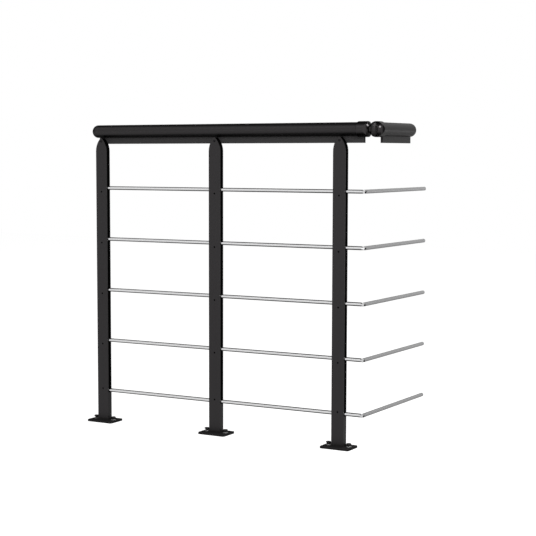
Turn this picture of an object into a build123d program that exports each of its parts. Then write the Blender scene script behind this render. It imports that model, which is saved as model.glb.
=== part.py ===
from build123d import *
import os

os.makedirs("parts", exist_ok=True)

# Driving dimensions in millimetres: X runs along the railing, Y away from its front, Z up
post_pitch = 443.0
post_names = ["left", "middle", "right"]
post_width = 42.0
post_depth = 20.0
post_wall = 2.0
post_side_wall = 3.2
arch_start_z = 913.0
arch_radius = 60.0
arch_tip_radius = 4.0
post_head_height = 50.0
groove_width = 13.4
groove_depth = 1.2
holder_screw_d = 4.2
holder_drop = 12.5
holder_rise_lowest = 5.5

plate_length = 98.5
plate_depth = 71.0
plate_thickness = 7.0
plate_corner = 6.0
plate_edge = 1.2
anchor_spacing = 70.0
anchor_hole_d = 9.0

rail_axis_z = 979.0
rail_radius = 21.2
rail_wall = 3.0
web_thickness = 7.5
web_bottom_z = 937.8
rail_overhang_left = 25.4
web_setback_left = 6.0
web_setback_return = 29.4
web_bolt_z = 946.0
web_bolt_d = 6.6

rod_radius = 6.0
rod_bottom_z = 108.0
rod_rise = 170.8
rod_count = 5
rod_pivot_overhang = 80.4
return_rod_length = 455.0

elbow_overhang = 102.8
knob_radius = 24.0
knob_nose_radius = 25.0
knob_nose_gap = 11.2
knob_mouth_distance = 50.0
knob_edge = 8.0
knob_lip = 2.0
rail_end_distance = 28.4
return_rail_length = 236.4
barrel_radius = 10.2
barrel_height = 43.2
lug_thickness = 14.0
ear_neck = 8.7
lug_root = 6.0
lug_neck = 12.0
elbow_pin_radius = 4.0

cap_plug_length = 13.5

knuckle_tongue = 4.4
knuckle_pin_radius = 1.8
knuckle_shoulder = 6.1
knuckle_eye = 5.5

loose_fit = 0.3
running_fit = 0.08
side_gap = 0.3
knuckle_gap = 0.6

# Values that follow from the ones above
post_xs = [-post_pitch, 0.0, post_pitch]
rail_y = (post_depth + web_thickness) / 2
rail_left_x = -post_pitch - rail_overhang_left
bore_radius = rail_radius - rail_wall
elbow_x = post_pitch + elbow_overhang
rail_right_x = elbow_x - rail_end_distance
return_near_y = rail_y + rail_end_distance
return_far_y = return_near_y + return_rail_length
ear_base = lug_thickness / 2 + side_gap
rod_zs = [rod_bottom_z + rod_rise * step for step in range(rod_count)]
rod_left_x = -post_pitch - post_width / 2 + post_side_wall + loose_fit
rod_pivot_x = post_pitch + rod_pivot_overhang
holder_zs = [rod_bottom_z + holder_rise_lowest] + [z - holder_drop for z in rod_zs[1:]]
apex_z = arch_start_z + (arch_radius**2 - (arch_radius - post_width / 2) ** 2) ** 0.5
cavity_top_z = apex_z - post_head_height
lug_reach = knob_nose_gap + lug_root


# Posts: hollow flat profile with a pointed arch head that laps the front of the rail web
def post_outline(x, foot_z, inset):
    half = post_width / 2 - inset
    radius = arch_radius - inset
    peak_z = arch_start_z + (radius**2 - (radius - half) ** 2) ** 0.5
    with BuildSketch() as outline:
        with BuildLine():
            Polyline(
                (x - half, arch_start_z),
                (x - half, foot_z),
                (x + half, foot_z),
                (x + half, arch_start_z),
            )
            RadiusArc((x + half, arch_start_z), (x, peak_z), -radius)
            RadiusArc((x, peak_z), (x - half, arch_start_z), -radius)
        make_face()
    return outline.sketch


def make_post(x, rods_pass):
    groove_foot_z = rod_bottom_z - rod_radius - loose_fit
    with BuildPart() as post:
        with BuildSketch(Plane.XZ.offset(-post_depth / 2)):
            add(post_outline(x, plate_thickness, 0))
        extrude(amount=post_depth)
        tip = post.edges().filter_by(Axis.Y).sort_by(Axis.Z)[-1]
        fillet(tip, arch_tip_radius)
        with BuildSketch(Plane.XZ.offset(-groove_width / 2)):
            with Locations((x, apex_z - (apex_z - groove_foot_z) / 2)):
                Rectangle(2 * post_width, apex_z - groove_foot_z + 2 * groove_depth)
            add(post_outline(x, plate_thickness, groove_depth), mode=Mode.SUBTRACT)
        extrude(amount=groove_width, mode=Mode.SUBTRACT)
        cavity_width = post_width - 2 * post_side_wall
        cavity_height = cavity_top_z - plate_thickness
        with Locations((x, 0, plate_thickness + cavity_height / 2)):
            Box(cavity_width, post_depth - 2 * post_wall, cavity_height, mode=Mode.SUBTRACT)
        rod_start = x - post_width if rods_pass else x
        with BuildSketch(Plane.YZ.offset(rod_start)):
            with Locations([(0, z) for z in rod_zs]):
                Circle(rod_radius + loose_fit)
        extrude(amount=x + post_width - rod_start, mode=Mode.SUBTRACT)
        with BuildSketch(Plane.XZ.offset(post_depth / 2)):
            with Locations([(x, z) for z in holder_zs]):
                Circle(holder_screw_d / 2)
        extrude(amount=-post_wall, mode=Mode.SUBTRACT)
        with BuildSketch(Plane.XZ.offset(-post_depth / 2)):
            with Locations((x, web_bolt_z)):
                Circle(web_bolt_d / 2)
        extrude(amount=post_depth, mode=Mode.SUBTRACT)
    return post


# Base plates: rounded flat plates with two anchor holes in line with the railing
def make_plate(x):
    with BuildPart() as plate:
        with BuildSketch(Plane.XY):
            with Locations((x, 0)):
                RectangleRounded(plate_length, plate_depth, plate_corner)
            with Locations((x - anchor_spacing / 2, 0), (x + anchor_spacing / 2, 0)):
                Circle(anchor_hole_d / 2, mode=Mode.SUBTRACT)
        extrude(amount=plate_thickness)
        top_edges = plate.faces().sort_by(Axis.Z)[-1].outer_wire().edges()
        fillet(top_edges, plate_edge)
    return plate


for post_name, post_x in zip(post_names, post_xs):
    post_part = make_post(post_x, post_name != "left")
    post_part.part.label = "post_" + post_name
    export_step(post_part.part, "parts/post_" + post_name + ".step")
    plate_part = make_plate(post_x)
    plate_part.part.label = "base_plate_" + post_name
    export_step(plate_part.part, "parts/base_plate_" + post_name + ".step")


# Handrail profile: round tube with a flat web hanging below it; the web is cut back at the ends
def tube_section(across):
    with Locations((across, rail_axis_z)):
        Circle(rail_radius)
        Circle(bore_radius, mode=Mode.SUBTRACT)


def web_section(across):
    web_height = rail_axis_z - web_bottom_z
    with Locations((across, rail_axis_z - web_height / 2)):
        Rectangle(web_thickness, web_height)
    with Locations((across, rail_axis_z)):
        Circle(bore_radius, mode=Mode.SUBTRACT)


with BuildPart() as handrail:
    with BuildSketch(Plane.YZ.offset(rail_left_x)):
        tube_section(rail_y)
    extrude(amount=rail_right_x - rail_left_x)
    with BuildSketch(Plane.YZ.offset(rail_left_x + web_setback_left)):
        web_section(rail_y)
    extrude(amount=rail_right_x - rail_left_x - web_setback_left)
    with BuildSketch(Plane.XZ.offset(-rail_y - web_thickness)):
        with Locations([(x, web_bolt_z) for x in post_xs]):
            Circle(web_bolt_d / 2)
    extrude(amount=2 * web_thickness, mode=Mode.SUBTRACT)
handrail.part.label = "handrail"
export_step(handrail.part, "parts/handrail.step")

with BuildPart() as return_handrail:
    with BuildSketch(Plane.XZ.offset(-return_near_y)):
        tube_section(elbow_x)
    extrude(amount=-return_rail_length)
    with BuildSketch(Plane.XZ.offset(-return_near_y - web_setback_return)):
        web_section(elbow_x)
    extrude(amount=web_setback_return - return_rail_length)
return_handrail.part.label = "return_handrail"
export_step(return_handrail.part, "parts/return_handrail.step")


# End caps: half balls with a plug in the tube's bore
def make_end_cap(end_plane):
    with BuildPart() as cap:
        with BuildSketch(Plane(end_plane.origin, x_dir=end_plane.x_dir, z_dir=-end_plane.y_dir)):
            with BuildLine():
                Line((0, rail_radius), (0, -cap_plug_length))
                Line((0, -cap_plug_length), (bore_radius - loose_fit, -cap_plug_length))
                Line((bore_radius - loose_fit, -cap_plug_length), (bore_radius - loose_fit, 0))
                Line((bore_radius - loose_fit, 0), (rail_radius, 0))
                RadiusArc((rail_radius, 0), (0, rail_radius), -rail_radius)
            make_face()
        revolve(axis=Axis(end_plane.origin, end_plane.z_dir))
    return cap


end_cap_left = make_end_cap(Plane((rail_left_x, rail_y, rail_axis_z), x_dir=(0, 1, 0), z_dir=(-1, 0, 0)))
end_cap_left.part.label = "end_cap_left"
export_step(end_cap_left.part, "parts/end_cap_left.step")
end_cap_return = make_end_cap(Plane((elbow_x, return_far_y, rail_axis_z), x_dir=(1, 0, 0), z_dir=(0, 1, 0)))
end_cap_return.part.label = "end_cap_return"
export_step(end_cap_return.part, "parts/end_cap_return.step")

# Elbow: two knobs with round noses over the tube ends, and an egg-shaped hinge barrel on one upright pin
def make_barrel(low_z, high_z):
    with BuildPart() as barrel:
        with BuildSketch(Plane.XZ.offset(-rail_y)):
            with Locations((elbow_x, rail_axis_z)):
                Ellipse(barrel_radius, barrel_height / 2)
                half_box = (Align.MAX, Align.CENTER)
                Rectangle(2 * barrel_radius, 2 * barrel_height, align=half_box, mode=Mode.SUBTRACT)
        revolve(axis=Axis((elbow_x, rail_y, 0), (0, 0, 1)))
        with Locations((elbow_x, rail_y, rail_axis_z + (low_z + high_z) / 2)):
            Box(4 * barrel_radius, 4 * barrel_radius, high_z - low_z, mode=Mode.INTERSECT)
    return barrel.part


main_mouth_x = elbow_x - knob_mouth_distance
nose_distance = knob_nose_gap + knob_nose_radius
with BuildPart() as elbow_knob_main:
    with BuildSketch(Plane.XY.offset(rail_axis_z - knob_radius)):
        with Locations((elbow_x - nose_distance, rail_y)):
            Circle(knob_nose_radius)
            Rectangle(2 * knob_nose_radius, 2 * knob_nose_radius, align=(Align.MAX, Align.CENTER))
    extrude(amount=2 * knob_radius)
    fillet(elbow_knob_main.faces().filter_by(Axis.Z).edges(), knob_edge)
    with BuildSketch(Plane.YZ.offset(main_mouth_x)):
        with Locations((rail_y, rail_axis_z)):
            Circle(knob_radius)
    extrude(amount=knob_mouth_distance, mode=Mode.INTERSECT)
    fillet(elbow_knob_main.edges().group_by(Axis.X)[0], knob_lip)
    with BuildSketch(Plane.YZ.offset(main_mouth_x)):
        with Locations((rail_y, rail_axis_z)):
            Circle(rail_radius + loose_fit)
        with Locations((rail_y, rail_axis_z - knob_radius)):
            Rectangle(web_thickness + 2 * loose_fit, 2 * knob_radius)
    extrude(amount=rail_right_x - main_mouth_x + loose_fit, mode=Mode.SUBTRACT)
    with BuildSketch(Plane.XY.offset(rail_axis_z - lug_thickness / 2)):
        with Locations((elbow_x, rail_y)):
            Rectangle(lug_reach, lug_neck, align=(Align.MAX, Align.CENTER))
    extrude(amount=lug_thickness)
    add(make_barrel(-lug_thickness / 2, lug_thickness / 2))
    with Locations((elbow_x, rail_y, rail_axis_z)):
        Cylinder(elbow_pin_radius + running_fit, 2 * barrel_height, mode=Mode.SUBTRACT)
elbow_knob_main.part.label = "elbow_knob_main"
export_step(elbow_knob_main.part, "parts/elbow_knob_main.step")

return_mouth_y = rail_y + knob_mouth_distance
with BuildPart() as elbow_knob_return:
    with BuildSketch(Plane.XY.offset(rail_axis_z - knob_radius)):
        with Locations((elbow_x, rail_y + nose_distance)):
            Circle(knob_nose_radius)
            Rectangle(2 * knob_nose_radius, 2 * knob_nose_radius, align=(Align.CENTER, Align.MIN))
    extrude(amount=2 * knob_radius)
    fillet(elbow_knob_return.faces().filter_by(Axis.Z).edges(), knob_edge)
    with BuildSketch(Plane.XZ.offset(-return_mouth_y)):
        with Locations((elbow_x, rail_axis_z)):
            Circle(knob_radius)
    extrude(amount=knob_mouth_distance, mode=Mode.INTERSECT)
    fillet(elbow_knob_return.edges().group_by(Axis.Y)[-1], knob_lip)
    with BuildSketch(Plane.XZ.offset(-return_mouth_y)):
        with Locations((elbow_x, rail_axis_z)):
            Circle(rail_radius + loose_fit)
    extrude(amount=return_mouth_y - return_near_y + loose_fit, mode=Mode.SUBTRACT)
    for ear_z in (rail_axis_z - ear_base - ear_neck, rail_axis_z + ear_base):
        with BuildSketch(Plane.XY.offset(ear_z)):
            with Locations((elbow_x, rail_y)):
                Rectangle(lug_neck, lug_reach, align=(Align.CENTER, Align.MIN))
        extrude(amount=ear_neck)
    add(make_barrel(-barrel_height, -ear_base))
    add(make_barrel(ear_base, barrel_height))
    with Locations((elbow_x, rail_y, rail_axis_z)):
        Cylinder(elbow_pin_radius + loose_fit, 2 * barrel_height, mode=Mode.SUBTRACT)
elbow_knob_return.part.label = "elbow_knob_return"
export_step(elbow_knob_return.part, "parts/elbow_knob_return.step")

with BuildPart() as elbow_pin:
    add(make_barrel(-barrel_height, barrel_height))
    with Locations((elbow_x, rail_y, rail_axis_z)):
        Cylinder(elbow_pin_radius, barrel_height, mode=Mode.INTERSECT)
elbow_pin.part.label = "elbow_pin"
export_step(elbow_pin.part, "parts/elbow_pin.step")


# Rods: steel bars through the posts, each ending in a flat tongue with an upright pin hole
def make_rod(z):
    shoulder_x = rod_pivot_x - knuckle_shoulder
    with BuildPart() as rod:
        with BuildSketch(Plane.YZ.offset(rod_left_x)):
            with Locations((0, z)):
                Circle(rod_radius)
        extrude(amount=shoulder_x - rod_left_x)
        with BuildSketch(Plane.XY.offset(z - knuckle_tongue / 2)):
            with Locations((shoulder_x, 0)):
                Rectangle(knuckle_shoulder, 2 * knuckle_eye, align=(Align.MIN, Align.CENTER))
            with Locations((rod_pivot_x, 0)):
                Circle(knuckle_eye)
                Circle(knuckle_pin_radius + running_fit, mode=Mode.SUBTRACT)
        extrude(amount=knuckle_tongue)
    return rod


# Return rods: bars with a forked end that carries the upright pin
def make_return_rod(z):
    slot_height = knuckle_tongue + 2 * knuckle_gap
    with BuildPart() as rod:
        with BuildSketch(Plane.XY.offset(z - rod_radius)):
            with Locations((rod_pivot_x, 0)):
                Rectangle(2 * knuckle_eye, 2 * knuckle_shoulder, align=(Align.CENTER, Align.MIN))
                Circle(knuckle_eye)
        extrude(amount=2 * rod_radius)
        with BuildSketch(Plane.XZ.offset(2 * rod_radius)):
            with Locations((rod_pivot_x, z)):
                Circle(rod_radius)
        extrude(amount=-4 * rod_radius - 2 * knuckle_shoulder, mode=Mode.INTERSECT)
        with BuildSketch(Plane.XZ.offset(-knuckle_shoulder)):
            with Locations((rod_pivot_x, z)):
                Circle(rod_radius)
        extrude(amount=knuckle_shoulder - return_rod_length)
        with Locations((rod_pivot_x, 0, z)):
            Box(4 * rod_radius, 2 * knuckle_shoulder, slot_height, mode=Mode.SUBTRACT)
            Cylinder(knuckle_pin_radius, 2 * rod_radius - 1)
    return rod


for step, rod_z in enumerate(rod_zs):
    rod_part = make_rod(rod_z)
    rod_part.part.label = "rod_" + str(step + 1)
    export_step(rod_part.part, "parts/rod_" + str(step + 1) + ".step")
    return_rod_part = make_return_rod(rod_z)
    return_rod_part.part.label = "return_rod_" + str(step + 1)
    export_step(return_rod_part.part, "parts/return_rod_" + str(step + 1) + ".step")
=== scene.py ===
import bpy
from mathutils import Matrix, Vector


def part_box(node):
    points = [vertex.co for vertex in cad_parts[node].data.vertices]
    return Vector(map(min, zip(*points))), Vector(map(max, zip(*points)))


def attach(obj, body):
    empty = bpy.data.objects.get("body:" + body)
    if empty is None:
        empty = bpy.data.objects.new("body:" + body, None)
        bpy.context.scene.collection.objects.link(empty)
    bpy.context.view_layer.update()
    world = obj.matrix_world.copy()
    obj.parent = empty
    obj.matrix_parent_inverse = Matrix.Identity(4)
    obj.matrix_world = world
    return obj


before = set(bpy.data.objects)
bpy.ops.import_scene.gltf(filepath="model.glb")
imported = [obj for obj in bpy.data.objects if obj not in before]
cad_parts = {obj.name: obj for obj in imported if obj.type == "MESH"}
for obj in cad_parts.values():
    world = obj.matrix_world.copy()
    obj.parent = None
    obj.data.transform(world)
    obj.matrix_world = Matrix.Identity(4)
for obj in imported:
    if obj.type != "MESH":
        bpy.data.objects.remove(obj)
import math

import bmesh
import bpy
from bpy.props import FloatProperty, FloatVectorProperty, PointerProperty
from bpy.types import Operator, Panel, PropertyGroup
from mathutils import Vector

bl_info = {
    "name": "Railing Look",
    "version": (1, 0, 0),
    "blender": (4, 5, 0),
    "location": "View3D > Sidebar > Railing",
    "description": "Finishes, fasteners, trim and studio for the corner railing",
    "category": "Object",
}

ROOT = "railing"
ROD_BODIES = ["rod_return_%d" % i for i in range(1, 6)]
POSTS = ("left", "middle", "right")
RODS = range(1, 6)

HOLDER_RISE_LOWEST = 0.0055
HOLDER_DROP = 0.0125
WEB_BOLT_Z = 0.946
ANCHOR_OFFSET = 0.035
KNUCKLE_REACH = 0.0055
KNUCKLE_DROP = 0.0018
KNUCKLE_TURN = math.radians(-22.0)
NOSE_FRONT, NOSE_BACK = -0.011, -0.040
NOSE_SLANT = 0.72
BARREL_REACH = 0.0104
FACING_FRONT = (math.pi / 2, 0.0, 0.0)
FACING_UP = (0.0, 0.0, 0.0)


# Settings

class RailingFinish(PropertyGroup):
    coat_tone: FloatVectorProperty(
        name="Coat Tone", description="Colour of the powder coat on posts and rails", subtype="COLOR",
        size=4, default=(0.0065, 0.0063, 0.0065, 1.0), min=0.0, max=1.0)
    coat_roughness: FloatProperty(
        name="Coat Roughness", description="Roughness of the powder coat", default=0.32, min=0.0, max=1.0)
    coat_grain: FloatProperty(
        name="Coat Grain", description="Grains of the powder coat per metre", default=900.0, min=1.0)
    # Painted light: the web is the same coat as the tube, given a lighter, nearly matt copy of its tone on its flat
    # faces so it reads evenly lit beside the posts, where the glossy coat would show their dark reflection.
    lit_web_tone: FloatVectorProperty(
        name="Lit Web Tone", description="Lighter copy of the coat tone on the web's flat faces, as painted light", subtype="COLOR",
        size=4, default=(0.043, 0.042, 0.043, 1.0), min=0.0, max=1.0)
    # Near-black with no reflection at all, so whatever wears it stays black under every lamp: the faces inside the
    # posts' side grooves, the holder screws and the knuckle discs.
    dead_black_tone: FloatVectorProperty(
        name="Dead Black Tone", description="Colour of the non-reflecting near-black on the side grooves, holder screws and knuckle discs", subtype="COLOR",
        size=4, default=(0.0015, 0.0015, 0.0015, 1.0), min=0.0, max=1.0)
    groove_width: FloatProperty(
        name="Groove Width", description="Width of the black side grooves of the posts", default=0.0134, unit="LENGTH",
        min=0.001)
    plate_tone: FloatVectorProperty(
        name="Plate Tone", description="Colour of the base plates", subtype="COLOR",
        size=4, default=(0.0125, 0.0122, 0.0125, 1.0), min=0.0, max=1.0)
    gloss_tone: FloatVectorProperty(
        name="Gloss Tone", description="Colour of the elbow's lacquer", subtype="COLOR",
        size=4, default=(0.002, 0.002, 0.002, 1.0), min=0.0, max=1.0)
    gloss_roughness: FloatProperty(
        name="Gloss Roughness", description="Roughness of the elbow's lacquer", default=0.21, min=0.0, max=1.0)
    nose_camber: FloatProperty(
        name="Nose Camber", description="Radius of the upright camber of the elbow's noses", default=0.024,
        unit="LENGTH", min=0.005)
    steel_tone: FloatVectorProperty(
        name="Steel Tone", description="Colour of the stainless rods", subtype="COLOR",
        size=4, default=(0.70, 0.70, 0.705, 1.0), min=0.0, max=1.0)
    steel_roughness: FloatProperty(
        name="Steel Roughness", description="Roughness of the stainless rods", default=0.09, min=0.0, max=1.0)


class RailingFixings(PropertyGroup):
    grub_radius: FloatProperty(
        name="Grub Radius", description="Radius of the rod holder screws", default=0.0028, unit="LENGTH", min=0.0005)
    bolt_radius: FloatProperty(
        name="Bolt Head Radius", description="Radius of the pivot screw heads on the post arches",
        default=0.0035, unit="LENGTH", min=0.001)
    anchor_radius: FloatProperty(
        name="Anchor Head Radius", description="Radius of the anchor screw heads", default=0.0078, unit="LENGTH",
        min=0.001)
    # Painted shade: a flat black disc at each rod knuckle stands for the shade in the gap between the fork's ears.
    knuckle_shade_radius: FloatProperty(
        name="Knuckle Shade Dot Radius", description="Radius of the black discs painted as shade at the rod knuckles", default=0.0029,
        unit="LENGTH", min=0.0005)
    anchor_height: FloatProperty(
        name="Anchor Head Height", description="Height of the anchor screw heads over the plate", default=0.0105,
        unit="LENGTH", min=0.001)


class RailingStage(PropertyGroup):
    focal: FloatProperty(name="Focal Length", description="Lens of the photograph in millimetres", default=96.56)
    eye: FloatVectorProperty(
        name="Eye", description="Place of the camera", subtype="TRANSLATION", unit="LENGTH", size=3,
        default=(2.3973, -3.9325, 0.9047))
    yaw: FloatProperty(
        name="Yaw", description="Turn of the camera to the left of the railing's front", subtype="ANGLE",
        default=math.radians(30.80))
    pitch: FloatProperty(
        name="Pitch", description="Tilt of the camera below the horizon", subtype="ANGLE", default=math.radians(5.42))
    shift_x: FloatProperty(name="Shift X", description="Sideways shift of the frame", default=0.0705)
    shift_y: FloatProperty(name="Shift Y", description="Upward shift of the frame", default=0.0416)
    front_power: FloatProperty(
        name="Front Light", description="Power of the front softbox", default=212.0, min=0.0)
    ceiling_power: FloatProperty(
        name="Ceiling Light", description="Power of the ceiling softbox", default=44.0, min=0.0)
    back_power: FloatProperty(
        name="Back Light", description="Power of the softbox behind the corner", default=26.0, min=0.0)
    right_power: FloatProperty(
        name="Right Light", description="Power of the softbox right of the camera", default=48.0, min=0.0)
    spark_power: FloatProperty(
        name="Spark Light", description="Power of the two small lights on the elbow", default=38.0, min=0.0)
    # Painted reflections: the floor glows only for reflected rays, in front of the railing and behind and right of it;
    # no lamp lights it.
    floor_reflection_glow: FloatProperty(
        name="Floor Reflection Glow", description="Strength of the floor's painted reflection glow in front of the railing", default=0.9,
        min=0.0)
    back_reflection_glow: FloatProperty(
        name="Back Reflection Glow", description="Strength of the floor's painted reflection glow behind and right of the railing",
        default=0.44, min=0.0)
    ambient: FloatProperty(name="Ambient", description="Strength of the room's own light", default=0.04, min=0.0)


# Shader groups

def new_group(name, inputs, outputs):
    group = bpy.data.node_groups.new(name, "ShaderNodeTree")
    for label, kind, default in inputs:
        socket = group.interface.new_socket(name=label, in_out="INPUT", socket_type=kind)
        socket.default_value = default
    for label, kind in outputs:
        group.interface.new_socket(name=label, in_out="OUTPUT", socket_type=kind)
    return group, group.nodes.new("NodeGroupInput"), group.nodes.new("NodeGroupOutput")


def coat_group():
    """Fine orange-peel grain with a slight cloudiness of tone and gloss."""
    group, gin, gout = new_group(
        "Powder Coat",
        [("Tone", "NodeSocketColor", (0.05, 0.05, 0.05, 1)), ("Roughness", "NodeSocketFloat", 0.5),
         ("Grain Scale", "NodeSocketFloat", 900.0), ("Cloud Scale", "NodeSocketFloat", 6.0)],
        [("Color", "NodeSocketColor"), ("Roughness", "NodeSocketFloat"), ("Height", "NodeSocketFloat")])
    nodes, link = group.nodes, group.links.new
    place = nodes.new("ShaderNodeTexCoord")
    grain = nodes.new("ShaderNodeTexNoise")
    grain.inputs["Detail"].default_value = 2.0
    link(place.outputs["Object"], grain.inputs["Vector"])
    link(gin.outputs["Grain Scale"], grain.inputs["Scale"])
    cloud = nodes.new("ShaderNodeTexNoise")
    cloud.inputs["Detail"].default_value = 3.0
    link(place.outputs["Object"], cloud.inputs["Vector"])
    link(gin.outputs["Cloud Scale"], cloud.inputs["Scale"])
    shade = nodes.new("ShaderNodeMapRange")
    shade.inputs["To Min"].default_value = 0.93
    shade.inputs["To Max"].default_value = 1.07
    link(cloud.outputs["Fac"], shade.inputs["Value"])
    tint = nodes.new("ShaderNodeVectorMath")
    tint.operation = "SCALE"
    link(gin.outputs["Tone"], tint.inputs[0])
    link(shade.outputs["Result"], tint.inputs["Scale"])
    sheen = nodes.new("ShaderNodeMath")
    sheen.operation = "MULTIPLY"
    link(gin.outputs["Roughness"], sheen.inputs[0])
    link(shade.outputs["Result"], sheen.inputs[1])
    link(tint.outputs["Vector"], gout.inputs["Color"])
    link(sheen.outputs["Value"], gout.inputs["Roughness"])
    link(grain.outputs["Fac"], gout.inputs["Height"])
    return group


def steel_group():
    """Drawn bar: long fine streaks along one axis in tone, gloss and height."""
    group, gin, gout = new_group(
        "Drawn Steel",
        [("Tone", "NodeSocketColor", (0.7, 0.7, 0.7, 1)), ("Roughness", "NodeSocketFloat", 0.2),
         ("Streaks", "NodeSocketVector", (4.0, 900.0, 900.0))],
        [("Color", "NodeSocketColor"), ("Roughness", "NodeSocketFloat"), ("Height", "NodeSocketFloat")])
    nodes, link = group.nodes, group.links.new
    place = nodes.new("ShaderNodeTexCoord")
    stretch = nodes.new("ShaderNodeVectorMath")
    stretch.operation = "MULTIPLY"
    link(place.outputs["Object"], stretch.inputs[0])
    link(gin.outputs["Streaks"], stretch.inputs[1])
    streak = nodes.new("ShaderNodeTexNoise")
    streak.inputs["Scale"].default_value = 1.0
    streak.inputs["Detail"].default_value = 3.0
    link(stretch.outputs["Vector"], streak.inputs["Vector"])
    shade = nodes.new("ShaderNodeMapRange")
    shade.inputs["To Min"].default_value = 0.88
    shade.inputs["To Max"].default_value = 1.08
    link(streak.outputs["Fac"], shade.inputs["Value"])
    tint = nodes.new("ShaderNodeVectorMath")
    tint.operation = "SCALE"
    link(gin.outputs["Tone"], tint.inputs[0])
    link(shade.outputs["Result"], tint.inputs["Scale"])
    sheen = nodes.new("ShaderNodeMath")
    sheen.operation = "MULTIPLY"
    link(gin.outputs["Roughness"], sheen.inputs[0])
    link(shade.outputs["Result"], sheen.inputs[1])
    link(tint.outputs["Vector"], gout.inputs["Color"])
    link(sheen.outputs["Value"], gout.inputs["Roughness"])
    link(streak.outputs["Fac"], gout.inputs["Height"])
    return group


def camber_group():
    """Height of a surface that is rounded up and down about a middle height."""
    group, gin, gout = new_group(
        "Camber", [("Middle", "NodeSocketFloat", 0.0), ("Radius", "NodeSocketFloat", 0.02)],
        [("Height", "NodeSocketFloat")])
    nodes, link = group.nodes, group.links.new
    place, split = nodes.new("ShaderNodeTexCoord"), nodes.new("ShaderNodeSeparateXYZ")
    link(place.outputs["Object"], split.inputs["Vector"])
    rise, square, share = (nodes.new("ShaderNodeMath") for i in range(3))
    rise.operation, square.operation, share.operation = "SUBTRACT", "MULTIPLY", "DIVIDE"
    link(split.outputs["Z"], rise.inputs[0])
    link(gin.outputs["Middle"], rise.inputs[1])
    link(rise.outputs["Value"], square.inputs[0])
    link(rise.outputs["Value"], square.inputs[1])
    link(square.outputs["Value"], share.inputs[0])
    half = nodes.new("ShaderNodeMath")
    half.operation = "MULTIPLY"
    half.inputs[1].default_value = -2.0
    link(gin.outputs["Radius"], half.inputs[0])
    link(half.outputs["Value"], share.inputs[1])
    link(share.outputs["Value"], gout.inputs["Height"])
    return group


def new_material(name, group, values, bump=0.0, distance=0.0002, metallic=0.0, specular=0.5, crown=None):
    """A principled material fed by one shared group; crown is the (height, radius) of an upright camber."""
    mat = bpy.data.materials.new(name)
    mat.use_nodes = True
    nodes, link = mat.node_tree.nodes, mat.node_tree.links.new
    shader = nodes["Principled BSDF"]
    shader.inputs["Metallic"].default_value = metallic
    shader.inputs["Specular IOR Level"].default_value = specular
    if not metallic:
        shader.inputs["Specular Tint"].default_value = (1.0, 0.94, 0.97, 1.0)
    source = nodes.new("ShaderNodeGroup")
    source.node_tree = group
    for label, value in values.items():
        source.inputs[label].default_value = value
    link(source.outputs["Color"], shader.inputs["Base Color"])
    link(source.outputs["Roughness"], shader.inputs["Roughness"])
    if bump:
        relief = nodes.new("ShaderNodeBump")
        relief.inputs["Strength"].default_value = bump
        relief.inputs["Distance"].default_value = distance
        link(source.outputs["Height"], relief.inputs["Height"])
        link(relief.outputs["Normal"], shader.inputs["Normal"])
        if crown:
            camber = nodes.new("ShaderNodeGroup")
            camber.node_tree = bpy.data.node_groups.get("Camber") or camber_group()
            camber.inputs["Middle"].default_value, camber.inputs["Radius"].default_value = crown
            swell = nodes.new("ShaderNodeBump")
            swell.inputs["Distance"].default_value = 1.0
            link(camber.outputs["Height"], swell.inputs["Height"])
            link(swell.outputs["Normal"], relief.inputs["Normal"])
    return mat


def material(name):
    found = bpy.data.materials.get(name)
    if found is None:
        raise RuntimeError("material %s is missing: run the finishes first" % name)
    return found


def dress(node, *names):
    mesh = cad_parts[node].data
    mesh.materials.clear()
    for name in names:
        mesh.materials.append(material(name))
    return mesh


# Meshes

def link_mesh(name, bm, smooth=True, angle=35.0):
    bmesh.ops.recalc_face_normals(bm, faces=bm.faces)
    mesh = bpy.data.meshes.new(name)
    bm.to_mesh(mesh)
    bm.free()
    if smooth:
        mesh.shade_smooth()
        mesh.set_sharp_from_angle(angle=math.radians(angle))
    obj = bpy.data.objects.new(name, mesh)
    bpy.context.scene.collection.objects.link(obj)
    return obj


def lathe(profile, segments=32):
    """Closed profile of (radius, height) turned about Z, as a bmesh."""
    bm = bmesh.new()
    rings = []
    for radius, height in profile:
        if radius < 1e-7:
            rings.append([bm.verts.new((0.0, 0.0, height))])
            continue
        ring = []
        for i in range(segments):
            turn = 2.0 * math.pi * i / segments
            ring.append(bm.verts.new((radius * math.cos(turn), radius * math.sin(turn), height)))
        rings.append(ring)
    for lower, upper in zip(rings, rings[1:]):
        for i in range(segments):
            j = (i + 1) % segments
            if len(lower) == 1 and len(upper) == 1:
                continue
            if len(lower) == 1:
                bm.faces.new((lower[0], upper[i], upper[j]))
            elif len(upper) == 1:
                bm.faces.new((lower[i], upper[0], lower[j]))
            else:
                bm.faces.new((lower[i], lower[j], upper[j], upper[i]))
    return bm


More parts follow.
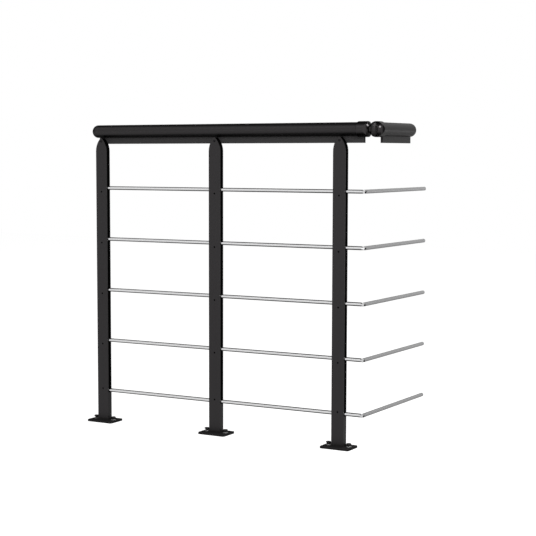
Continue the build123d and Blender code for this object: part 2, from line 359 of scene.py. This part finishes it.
def scatter(name, master, places, facing, mat, body, seed=0):
    """Copies of one master mesh at the given places, turned to face one way, as one plain mesh."""
    master.data.materials.clear()
    master.data.materials.append(mat)
    points = bpy.data.meshes.new(name + "_points")
    points.from_pydata([tuple(p) for p in places], [], [])
    obj = bpy.data.objects.new(name, points)
    bpy.context.scene.collection.objects.link(obj)
    tree = bpy.data.node_groups.new(name + "_tree", "GeometryNodeTree")
    tree.interface.new_socket(name="Geometry", in_out="INPUT", socket_type="NodeSocketGeometry")
    tree.interface.new_socket(name="Geometry", in_out="OUTPUT", socket_type="NodeSocketGeometry")
    part = tree.interface.new_socket(name="Part", in_out="INPUT", socket_type="NodeSocketObject")
    turn = tree.interface.new_socket(name="Facing", in_out="INPUT", socket_type="NodeSocketRotation")
    spin = tree.interface.new_socket(name="Spin", in_out="INPUT", socket_type="NodeSocketFloat")
    coat = tree.interface.new_socket(name="Finish", in_out="INPUT", socket_type="NodeSocketMaterial")
    nodes, link = tree.nodes, tree.links.new
    gin, gout = nodes.new("NodeGroupInput"), nodes.new("NodeGroupOutput")
    info = nodes.new("GeometryNodeObjectInfo")
    chance = nodes.new("FunctionNodeRandomValue")
    chance.data_type = "FLOAT"
    chance.inputs["Seed"].default_value = seed
    axis = nodes.new("FunctionNodeAxisAngleToRotation")
    axis.inputs["Axis"].default_value = (0.0, 0.0, 1.0)
    scale = nodes.new("ShaderNodeMath")
    scale.operation = "MULTIPLY"
    both = nodes.new("FunctionNodeRotateRotation")
    both.rotation_space = "LOCAL"
    copies = nodes.new("GeometryNodeInstanceOnPoints")
    real = nodes.new("GeometryNodeRealizeInstances")
    paint = nodes.new("GeometryNodeSetMaterial")
    link(gin.outputs["Part"], info.inputs["Object"])
    link(gin.outputs["Spin"], scale.inputs[0])
    link(chance.outputs[1], scale.inputs[1])
    link(scale.outputs["Value"], axis.inputs["Angle"])
    link(gin.outputs["Facing"], both.inputs["Rotation"])
    link(axis.outputs["Rotation"], both.inputs["Rotate By"])
    link(gin.outputs["Geometry"], copies.inputs["Points"])
    link(info.outputs["Geometry"], copies.inputs["Instance"])
    link(both.outputs["Rotation"], copies.inputs["Rotation"])
    link(copies.outputs["Instances"], real.inputs["Geometry"])
    link(real.outputs["Geometry"], paint.inputs["Geometry"])
    link(gin.outputs["Finish"], paint.inputs["Material"])
    link(paint.outputs["Geometry"], gout.inputs["Geometry"])
    modifier = obj.modifiers.new("Copies", "NODES")
    modifier.node_group = tree
    modifier[part.identifier] = master
    modifier[turn.identifier] = facing
    modifier[spin.identifier] = 2.0 * math.pi
    modifier[coat.identifier] = mat
    graph = bpy.context.evaluated_depsgraph_get()
    mesh = bpy.data.meshes.new_from_object(obj.evaluated_get(graph))
    obj.modifiers.clear()
    obj.data = mesh
    bpy.data.meshes.remove(points)
    if len(mesh.polygons) == 0:
        raise RuntimeError("no copies were made for %s" % name)
    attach(obj, body)
    return obj


def drop(obj):
    mesh = obj.data
    bpy.data.objects.remove(obj)
    bpy.data.meshes.remove(mesh)


# Operators

class RAILING_OT_finishes(Operator):
    """Makes the shared finishes and puts them on the solids"""

    bl_idname = "railing.finishes"
    bl_label = "Finishes"

    def execute(self, context):
        look = context.scene.railing_finish
        coat, steel = coat_group(), steel_group()
        tone = tuple(look.coat_tone)
        grain = look.coat_grain
        new_material("Coat Satin", coat, {"Tone": tone, "Roughness": look.coat_roughness, "Grain Scale": grain},
                     bump=0.08, specular=0.4)
        # Painted light: lighter, nearly matt copy of the coat for the web's flat faces.
        new_material("Coat Web Lit", coat, {"Tone": tuple(look.lit_web_tone), "Roughness": 0.5, "Grain Scale": grain},
                     bump=0.08, specular=0.1)
        # Non-reflecting near-black (specular 0), which stays black under every lamp.
        new_material("Dead Black", coat, {"Tone": tuple(look.dead_black_tone), "Roughness": 0.8, "Grain Scale": grain},
                     bump=0.1, specular=0.0)
        new_material("Coat Plate", coat, {"Tone": tuple(look.plate_tone), "Roughness": 0.6, "Grain Scale": grain},
                     bump=0.15, specular=0.3)
        new_material("Lacquer Gloss", coat, {"Tone": tuple(look.gloss_tone), "Roughness": 1.4 * look.gloss_roughness,
                                             "Grain Scale": 120.0}, bump=0.02, specular=0.5)
        low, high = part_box("elbow_knob_main")
        new_material("Lacquer Nose", coat, {"Tone": tuple(look.gloss_tone), "Roughness": look.gloss_roughness,
                                            "Grain Scale": 120.0}, bump=0.02, specular=0.5,
                     crown=(0.5 * (low[2] + high[2]), look.nose_camber))
        new_material("Cap Plastic", coat, {"Tone": tone, "Roughness": 0.45, "Grain Scale": 1400.0}, bump=0.06,
                     specular=0.4)
        new_material("Rod Steel", steel, {"Tone": tuple(look.steel_tone), "Roughness": look.steel_roughness,
                                          "Streaks": (4.0, 900.0, 900.0)}, bump=0.02, metallic=1.0)
        new_material("Return Steel", steel, {"Tone": tuple(look.steel_tone), "Roughness": 3.1 * look.steel_roughness,
                                             "Streaks": (900.0, 4.0, 900.0)}, bump=0.02, metallic=1.0)
        new_material("Screw Steel", steel, {"Tone": (0.62, 0.62, 0.62, 1.0), "Roughness": 0.5,
                                            "Streaks": (500.0, 500.0, 500.0)}, bump=0.03, metallic=1.0)
        new_material("Screw Black", coat, {"Tone": (0.006, 0.006, 0.006, 1.0), "Roughness": 0.4,
                                           "Grain Scale": 700.0}, bump=0.05, specular=0.3)
        for which in POSTS:
            mesh = dress("post_" + which, "Coat Satin", "Dead Black")
            # Faces inside the side groove take the non-reflecting near-black; the rest of the post keeps the coat.
            half = 0.5 * look.groove_width
            for face in mesh.polygons:
                inside = all(abs(mesh.vertices[i].co.y) < half + 2e-5 for i in face.vertices)
                face.material_index = 1 if inside else 0
            dress("base_plate_" + which, "Coat Plate")
        dress("return_handrail", "Coat Satin")
        mesh = dress("handrail", "Coat Satin", "Coat Web Lit")
        tube_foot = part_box("end_cap_left")[0][2]
        # Only the web's flat front and back faces take the lighter copy of the coat: painted light.
        for face in mesh.polygons:
            face.material_index = 1 if abs(face.normal.y) > 0.95 and face.center.z < tube_foot else 0
        for node in ("end_cap_left", "end_cap_return"):
            dress(node, "Cap Plastic")
        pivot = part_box("elbow_pin")
        pivot = [0.5 * (a + b) for a, b in zip(*pivot)]
        for node, facing in (("elbow_knob_main", Vector((1, 0, 0))), ("elbow_knob_return", Vector((0, -1, 0)))):
            mesh = dress(node, "Lacquer Gloss", "Lacquer Nose", "Cap Plastic")
            for face in mesh.polygons:
                away = face.center - Vector(pivot)
                ahead = away.dot(facing)
                nose = face.normal.dot(facing) > NOSE_SLANT and NOSE_BACK < ahead < NOSE_FRONT
                barrel = away.xy.length < BARREL_REACH
                face.material_index = 1 if nose else 2 if barrel else 0
        dress("elbow_pin", "Screw Black")
        for i in RODS:
            dress("rod_%d" % i, "Rod Steel")
            dress("return_rod_%d" % i, "Return Steel")
        return {"FINISHED"}


class RAILING_OT_fixings(Operator):
    """Screws on the posts and anchors on the plates"""

    bl_idname = "railing.fixings"
    bl_label = "Fixings"

    def execute(self, context):
        size = context.scene.railing_fixings
        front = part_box("post_middle")[0][1]
        centres = [0.5 * (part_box("post_" + w)[0][0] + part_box("post_" + w)[1][0]) for w in POSTS]
        rods = []
        for i in RODS:
            low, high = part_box("rod_%d" % i)
            rods.append(0.5 * (low[2] + high[2]))
        heights = [rods[0] + HOLDER_RISE_LOWEST] + [z - HOLDER_DROP for z in rods[1:]]
        r = size.grub_radius
        grub = link_mesh("grub", lathe([(0.0, -0.0004), (0.4 * r, -0.0004), (0.45 * r, 0.0001), (0.85 * r, 0.0003),
                                        (r, 0.0001), (r, -0.00001), (0.73 * r, -0.00001), (0.73 * r, -0.0018),
                                        (0.0, -0.0018)], 24))
        scatter("rod_holder_screws", grub, [(x, front, z) for x in centres for z in heights], FACING_FRONT,
                material("Dead Black"), ROOT, 3)
        r = size.bolt_radius
        bolt = link_mesh("bolt", lathe([(0.0, 0.0012), (0.42 * r, 0.0012), (0.48 * r, 0.0030), (0.7 * r, 0.0029),
                                        (0.92 * r, 0.0020), (r, 0.0008), (r, 0.0), (0.0, 0.0)], 32))
        scatter("pivot_screws", bolt, [(x, front, WEB_BOLT_Z) for x in centres], FACING_FRONT,
                material("Screw Black"), ROOT, 4)
        r, h = size.anchor_radius, size.anchor_height
        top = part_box("base_plate_middle")[1][2]
        flank = link_mesh("anchor_flank", lathe([
            (0.0, 0.0), (1.08 * r, 0.0), (1.1 * r, 0.03 * h), (1.04 * r, 0.09 * h), (0.5 * r, 0.22 * h),
            (0.0, 0.22 * h)], 40))
        crown = link_mesh("anchor_crown", lathe([
            (0.0, 0.14 * h), (0.5 * r, 0.14 * h), (0.58 * r, 0.36 * h), (0.92 * r, 0.64 * h), (1.04 * r, 0.76 * h),
            (0.98 * r, 0.92 * h), (0.86 * r, h), (0.5 * r, h), (0.44 * r, h), (0.40 * r, 0.84 * h),
            (0.0, 0.84 * h)], 40))
        spots = [(x + side * ANCHOR_OFFSET, 0.0, top) for x in centres for side in (-1, 1)]
        scatter("anchor_stems", flank, spots, FACING_UP, material("Screw Steel"), ROOT, 5)
        scatter("anchor_heads", crown, spots, FACING_UP, material("Screw Black"), ROOT, 6)
        # Painted shade: one flat black disc per return rod, on the knuckle, where the gap between the fork's ears lies
        # in shade.
        r = size.knuckle_shade_radius
        dot = link_mesh("dot", lathe([
            (0.0, -0.00005), (r, -0.00005), (r, 0.0002), (0.85 * r, 0.0003), (0.0, 0.00035)], 28))
        pivot_x = 0.5 * (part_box("return_rod_1")[0][0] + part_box("return_rod_1")[1][0])
        for i, body in enumerate(ROD_BODIES):
            spot = (pivot_x + KNUCKLE_REACH * math.cos(KNUCKLE_TURN), KNUCKLE_REACH * math.sin(KNUCKLE_TURN),
                    rods[i] - KNUCKLE_DROP)
            scatter("knuckle_screw_%d" % (i + 1), dot, [spot], (math.pi / 2, 0.0, math.pi / 2 + KNUCKLE_TURN),
                    material("Dead Black"), body, 7 + i)
        for master in (grub, bolt, flank, crown, dot):
            drop(master)
        return {"FINISHED"}


class RAILING_OT_stage(Operator):
    """Camera, white studio and lights"""

    bl_idname = "railing.stage"
    bl_label = "Stage"

    def execute(self, context):
        setup = context.scene.railing_stage
        scene = context.scene
        lens = bpy.data.cameras.new("Camera")
        lens.lens = setup.focal
        lens.sensor_width = 36.0
        lens.shift_x = setup.shift_x
        lens.shift_y = setup.shift_y
        camera = bpy.data.objects.new("Camera", lens)
        camera.location = setup.eye
        camera.rotation_euler = (math.pi / 2 - setup.pitch, 0.0, setup.yaw)
        scene.collection.objects.link(camera)
        scene.camera = camera
        scene.view_settings.view_transform = "Standard"
        self.world(scene, setup)
        self.floor(scene, setup)
        self.softbox(scene, "front", (0.0, -5.5, 3.0), (0.0, 0.0, 3.0), (12.0, 6.0), setup.front_power)
        self.softbox(scene, "ceiling", (-2.0, -2.8, 4.5), (-0.2, 0.0, 0.9), (7.0, 2.6), setup.ceiling_power)
        self.softbox(scene, "back", (1.4, 4.5, 2.0), (1.4, 0.0, 2.0), (4.4, 4.0), setup.back_power)
        self.softbox(scene, "right", (5.6, -2.9, 2.4), (0.5, 0.0, 2.4), (3.6, 4.8), setup.right_power)
        self.softbox(scene, "spark", (2.63, 0.77, 3.0), (0.53, 0.0, 0.99), (0.85, 0.85), setup.spark_power)
        self.softbox(scene, "glint", (2.19, -1.68, 2.58), (0.55, 0.02, 0.99), (0.85, 0.85), setup.spark_power)
        return {"FINISHED"}

    def world(self, scene, setup):
        world = bpy.data.worlds.new("Studio")
        world.use_nodes = True
        nodes, link = world.node_tree.nodes, world.node_tree.links.new
        nodes.clear()
        path = nodes.new("ShaderNodeLightPath")
        seen, room = nodes.new("ShaderNodeBackground"), nodes.new("ShaderNodeBackground")
        seen.inputs["Color"].default_value = (1.0, 1.0, 1.0, 1.0)
        room.inputs["Color"].default_value = (1.0, 1.0, 1.0, 1.0)
        room.inputs["Strength"].default_value = setup.ambient
        mix, out = nodes.new("ShaderNodeMixShader"), nodes.new("ShaderNodeOutputWorld")
        link(path.outputs["Is Camera Ray"], mix.inputs["Fac"])
        link(room.outputs["Background"], mix.inputs[1])
        link(seen.outputs["Background"], mix.inputs[2])
        link(mix.outputs["Shader"], out.inputs["Surface"])
        scene.world = world

    def floor(self, scene, setup):
        bm = bmesh.new()
        bmesh.ops.create_grid(bm, x_segments=1, y_segments=1, size=9.0)
        floor = link_mesh("studio_floor", bm, smooth=False)
        mat = bpy.data.materials.new("Studio Floor")
        mat.use_nodes = True
        nodes, link = mat.node_tree.nodes, mat.node_tree.links.new
        nodes.clear()
        path = nodes.new("ShaderNodeLightPath")
        pale = nodes.new("ShaderNodeBsdfDiffuse")
        pale.inputs["Color"].default_value = (0.4, 0.4, 0.4, 1.0)
        glow = nodes.new("ShaderNodeEmission")
        glow.inputs["Strength"].default_value = 0.97
        both = nodes.new("ShaderNodeAddShader")
        link(pale.outputs["BSDF"], both.inputs[0])
        link(glow.outputs["Emission"], both.inputs[1])
        place = nodes.new("ShaderNodeTexCoord")
        split = nodes.new("ShaderNodeSeparateXYZ")
        link(place.outputs["Object"], split.inputs["Vector"])
        slant = nodes.new("ShaderNodeLayerWeight")
        slant.inputs["Blend"].default_value = 0.5

        def ramp(source, low, high, top):
            node = nodes.new("ShaderNodeMapRange")
            node.interpolation_type = "SMOOTHSTEP"
            for label, value in (("From Min", low), ("From Max", high), ("To Min", 0.0), ("To Max", top)):
                node.inputs[label].default_value = value
            link(source, node.inputs["Value"])
            return node.outputs["Result"]

        def join(operation, first, second):
            node = nodes.new("ShaderNodeMath")
            node.operation = operation
            link(first, node.inputs[0])
            link(second, node.inputs[1])
            return node.outputs["Value"]

        # Painted reflection: emission on the floor that only reflected rays see, in front, behind and right of the
        # railing, stronger toward grazing angles.
        ahead = ramp(split.outputs["Y"], -0.045, -0.10, setup.floor_reflection_glow)
        behind = ramp(split.outputs["Y"], 0.02, 0.10, setup.back_reflection_glow)
        beside = ramp(split.outputs["X"], 0.56, 0.80, 0.5 * setup.back_reflection_glow)
        ahead = join("MULTIPLY", ahead, ramp(slant.outputs["Facing"], 0.15, 0.45, 1.0))
        behind = join("MULTIPLY", behind, ramp(slant.outputs["Facing"], 0.10, 0.80, 1.0))
        reflection_glow = nodes.new("ShaderNodeEmission")
        link(join("MAXIMUM", join("MAXIMUM", ahead, behind), beside), reflection_glow.inputs["Strength"])
        seen, mirrored = nodes.new("ShaderNodeMixShader"), nodes.new("ShaderNodeMixShader")
        out = nodes.new("ShaderNodeOutputMaterial")
        link(path.outputs["Is Glossy Ray"], mirrored.inputs["Fac"])
        link(pale.outputs["BSDF"], mirrored.inputs[1])
        link(reflection_glow.outputs["Emission"], mirrored.inputs[2])
        link(path.outputs["Is Camera Ray"], seen.inputs["Fac"])
        link(mirrored.outputs["Shader"], seen.inputs[1])
        link(both.outputs["Shader"], seen.inputs[2])
        link(seen.outputs["Shader"], out.inputs["Surface"])
        floor.data.materials.append(mat)

    def softbox(self, scene, name, place, aim, size, power):
        light = bpy.data.lights.new("softbox_" + name, "AREA")
        light.shape = "RECTANGLE"
        light.size, light.size_y = size
        light.energy = power
        lamp = bpy.data.objects.new("softbox_" + name, light)
        lamp.location = place
        lamp.rotation_euler = (Vector(aim) - Vector(place)).to_track_quat("-Z", "Y").to_euler()
        scene.collection.objects.link(lamp)


class RAILING_PT_panel(Panel):
    """Lists the steps of the railing's look"""

    bl_idname = "RAILING_PT_panel"
    bl_label = "Railing Look"
    bl_space_type = "VIEW_3D"
    bl_region_type = "UI"
    bl_category = "Railing"

    def draw(self, context):
        column = self.layout.column()
        for group in ("railing_finish", "railing_fixings", "railing_stage"):
            settings = getattr(context.scene, group)
            for name in settings.__annotations__:
                column.prop(settings, name)
        for step in ("railing.finishes", "railing.fixings", "railing.stage"):
            column.operator(step)


CLASSES = (RailingFinish, RailingFixings, RailingStage, RAILING_OT_finishes, RAILING_OT_fixings, RAILING_OT_stage,
           RAILING_PT_panel)


def register():
    for cls in CLASSES:
        bpy.utils.register_class(cls)
    bpy.types.Scene.railing_finish = PointerProperty(type=RailingFinish)
    bpy.types.Scene.railing_fixings = PointerProperty(type=RailingFixings)
    bpy.types.Scene.railing_stage = PointerProperty(type=RailingStage)


def unregister():
    del bpy.types.Scene.railing_stage
    del bpy.types.Scene.railing_fixings
    del bpy.types.Scene.railing_finish
    for cls in reversed(CLASSES):
        bpy.utils.unregister_class(cls)


def main():
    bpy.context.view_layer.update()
    register()
    bpy.ops.railing.finishes()
    bpy.ops.railing.fixings()
    bpy.ops.railing.stage()


if __name__ == "__main__":
    main()
